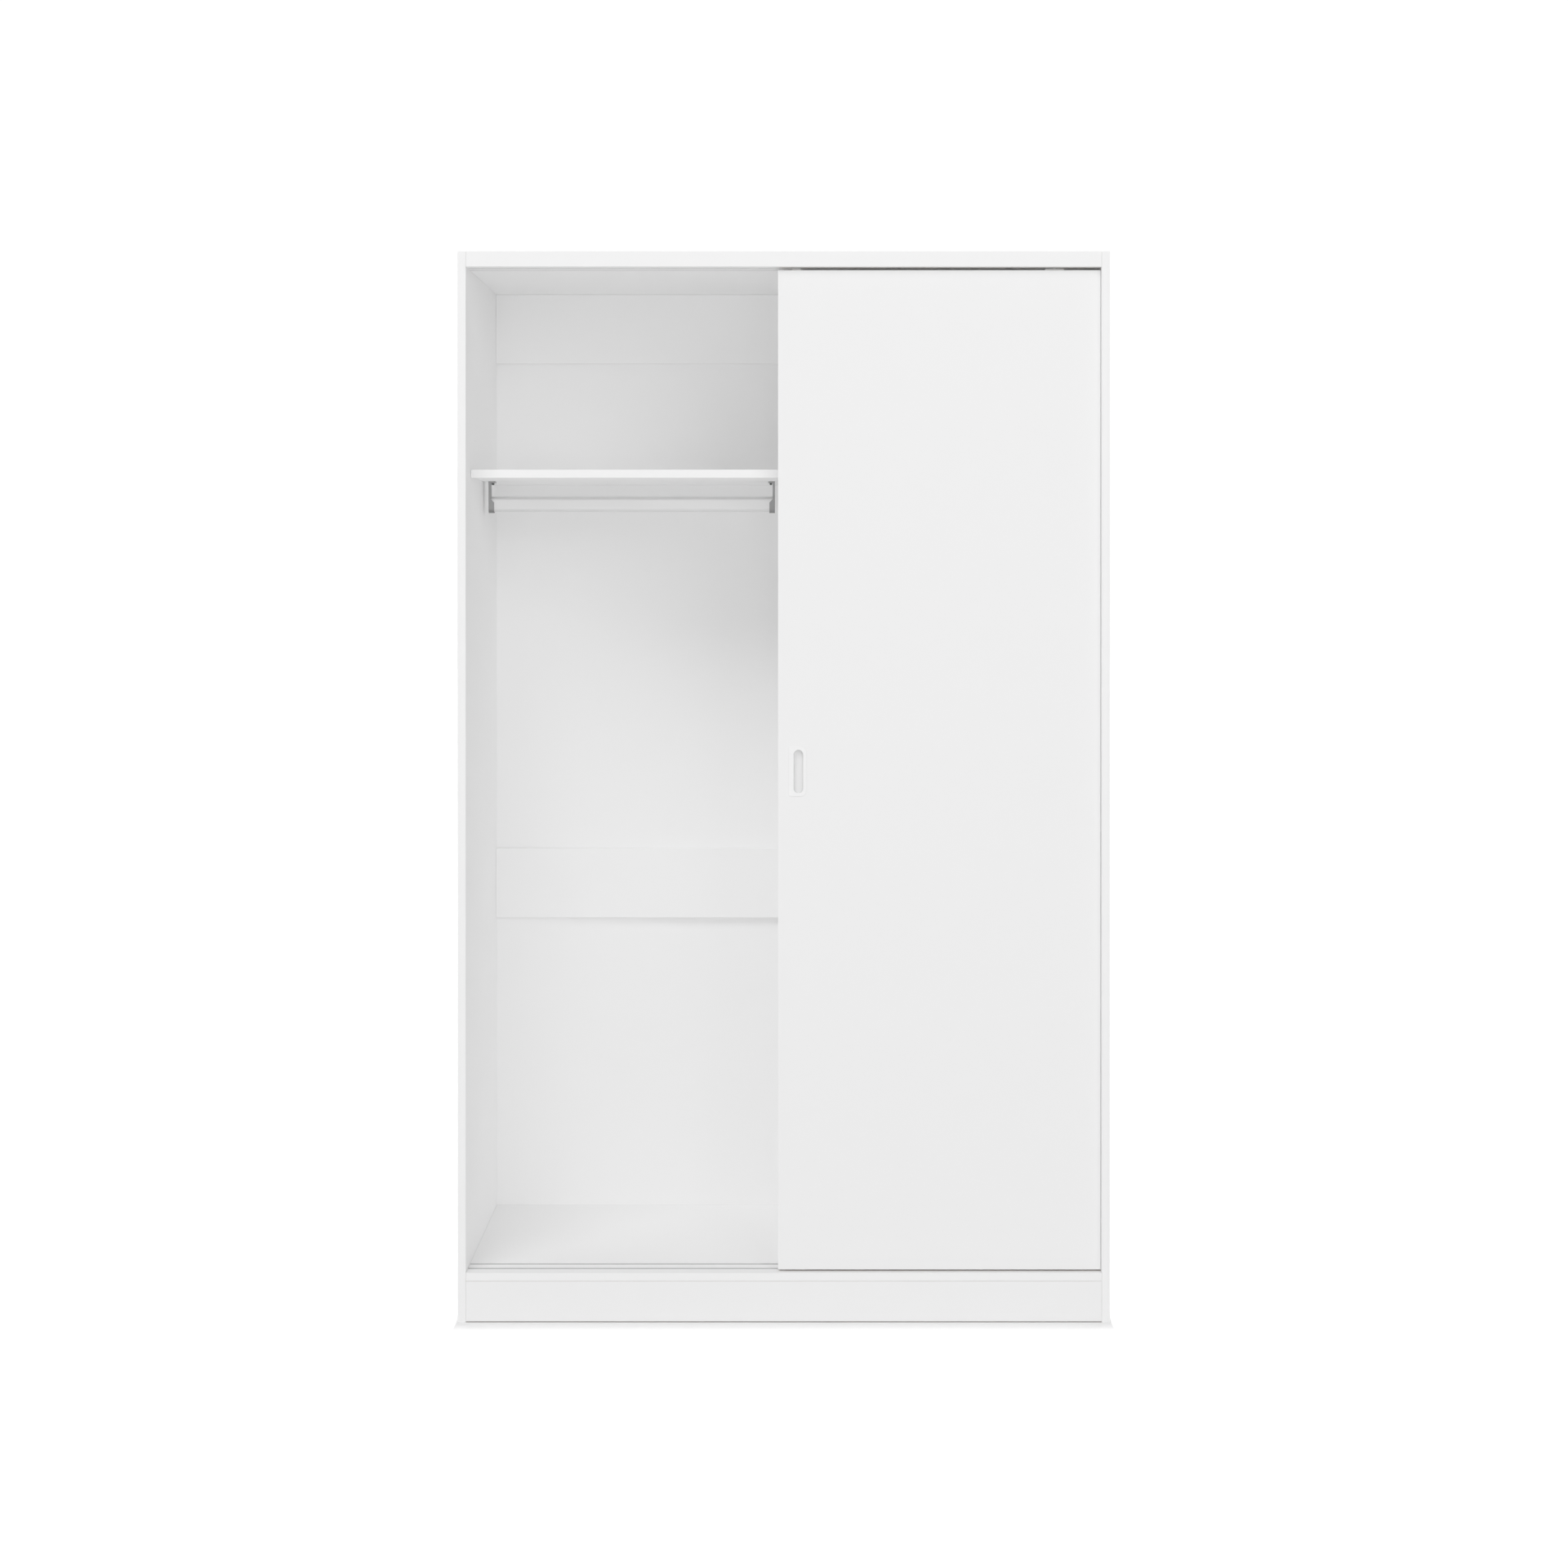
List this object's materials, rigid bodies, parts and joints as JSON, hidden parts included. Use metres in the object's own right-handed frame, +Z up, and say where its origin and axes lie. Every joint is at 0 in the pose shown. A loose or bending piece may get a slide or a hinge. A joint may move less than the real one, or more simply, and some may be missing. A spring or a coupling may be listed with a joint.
{
  "type": "sliding-door wardrobe",
  "caption": "Free-standing white wardrobe with sliding doors on bottom rollers, flush pulls, a hanging rail under the left shelf and shelves on the right.",
  "frame": {"origin": "on the floor, at the middle of the wardrobe's footprint", "axes": "+Z up, +Y towards the back (the doors face -Y), +X to the right seen from the front"},
  "size_m": [1.2, 0.52, 1.97],
  "materials": {
    "white_board": "white melamine foil on particle board, fine satin",
    "back_sheet": "hardboard, lacquered white on the inside and bare brown on the outside",
    "white_plastic": "moulded white plastic, satin",
    "grey_plastic": "extruded light grey plastic, satin",
    "nylon": "natural nylon, matt",
    "zinc": "die-cast zinc, dull dark grey",
    "bright_metal": "bright satin-plated tube",
    "steel": "zinc-plated steel",
    "black_steel": "blackened steel screws"
  },
  "bodies": {
    "cabinet": {"side_panel_left": "white_board", "side_panel_right": "white_board", "top_panel": "white_board", "bottom_panel": "white_board", "plinth_front": "white_board", "plinth_rear": "white_board", "plinth_brace": "white_board", "centre_divider": "white_board", "top_rail_left": "white_board", "top_rail_right": "white_board", "middle_rail_left": "white_board", "middle_rail_right": "white_board", "back_panel_upper": "back_sheet", "back_panel_lower": "back_sheet", "shelf_left": "white_board", "shelf_pin_left_front_left": "steel", "shelf_pin_left_rear_left": "steel", "shelf_pin_left_front_right": "steel", "shelf_pin_left_rear_right": "steel", "shelf_right_upper": "white_board", "shelf_pin_right_upper_front_left": "steel", "shelf_pin_right_upper_rear_left": "steel", "shelf_pin_right_upper_front_right": "steel", "shelf_pin_right_upper_rear_right": "steel", "shelf_right_middle": "white_board", "shelf_right_lower": "white_board", "shelf_pin_right_lower_front_left": "steel", "shelf_pin_right_lower_rear_left": "steel", "shelf_pin_right_lower_front_right": "steel", "shelf_pin_right_lower_rear_right": "steel", "rail_bracket_left": "zinc", "rail_bracket_screw_left": "black_steel", "rail_bracket_right": "zinc", "rail_bracket_screw_right": "black_steel", "hanging_rail": "bright_metal", "bottom_track_front": "grey_plastic", "top_track_front": "grey_plastic", "bottom_track_rear": "grey_plastic", "top_track_rear": "grey_plastic"},
    "door_front": {"door_front_panel": "white_board", "door_front_pull": "white_plastic", "door_front_roller_housing_left": "white_plastic", "door_front_roller_axle_left": "steel", "door_front_roller_housing_right": "white_plastic", "door_front_roller_axle_right": "steel", "door_front_guide_narrow": "white_plastic", "door_front_guide_wide": "white_plastic"},
    "door_rear": {"door_rear_panel": "white_board", "door_rear_pull": "white_plastic", "door_rear_roller_housing_left": "white_plastic", "door_rear_roller_axle_left": "steel", "door_rear_roller_housing_right": "white_plastic", "door_rear_roller_axle_right": "steel", "door_rear_guide_narrow": "white_plastic", "door_rear_guide_wide": "white_plastic"},
    "door_front_wheel_left": {"door_front_roller_wheel_left": "nylon"},
    "door_front_wheel_right": {"door_front_roller_wheel_right": "nylon"},
    "door_rear_wheel_left": {"door_rear_roller_wheel_left": "nylon"},
    "door_rear_wheel_right": {"door_rear_roller_wheel_right": "nylon"}
  },
  "joints": [
    {"name": "door_front_slide", "type": "slide", "parent": "cabinet", "child": "door_front", "axis": [1, 0, 0], "range_m": [-0.5735, 0]},
    {"name": "door_rear_slide", "type": "slide", "parent": "cabinet", "child": "door_rear", "axis": [1, 0, 0], "range_m": [-0.5735, 0]},
    {"name": "door_front_wheel_left_spin", "type": "hinge", "parent": "door_front", "child": "door_front_wheel_left", "pos_m": [0.0235, -0.228, 0.0965], "axis": [0, 1, 0], "range_deg": [-2530, 0]},
    {"name": "door_front_wheel_right_spin", "type": "hinge", "parent": "door_front", "child": "door_front_wheel_right", "pos_m": [0.55, -0.228, 0.0965], "axis": [0, 1, 0], "range_deg": [-2530, 0]},
    {"name": "door_rear_wheel_left_spin", "type": "hinge", "parent": "door_rear", "child": "door_rear_wheel_left", "pos_m": [0.0235, -0.197, 0.0965], "axis": [0, 1, 0], "range_deg": [-2530, 0]},
    {"name": "door_rear_wheel_right_spin", "type": "hinge", "parent": "door_rear", "child": "door_rear_wheel_right", "pos_m": [0.55, -0.197, 0.0965], "axis": [0, 1, 0], "range_deg": [-2530, 0]}
  ],
  "couplings": [
    {"joint": "door_front_wheel_left_spin", "follows": "door_front_slide", "rad_per_m": 76.923},
    {"joint": "door_front_wheel_right_spin", "follows": "door_front_slide", "rad_per_m": 76.923},
    {"joint": "door_rear_wheel_left_spin", "follows": "door_rear_slide", "rad_per_m": 76.923},
    {"joint": "door_rear_wheel_right_spin", "follows": "door_rear_slide", "rad_per_m": 76.923}
  ]
}
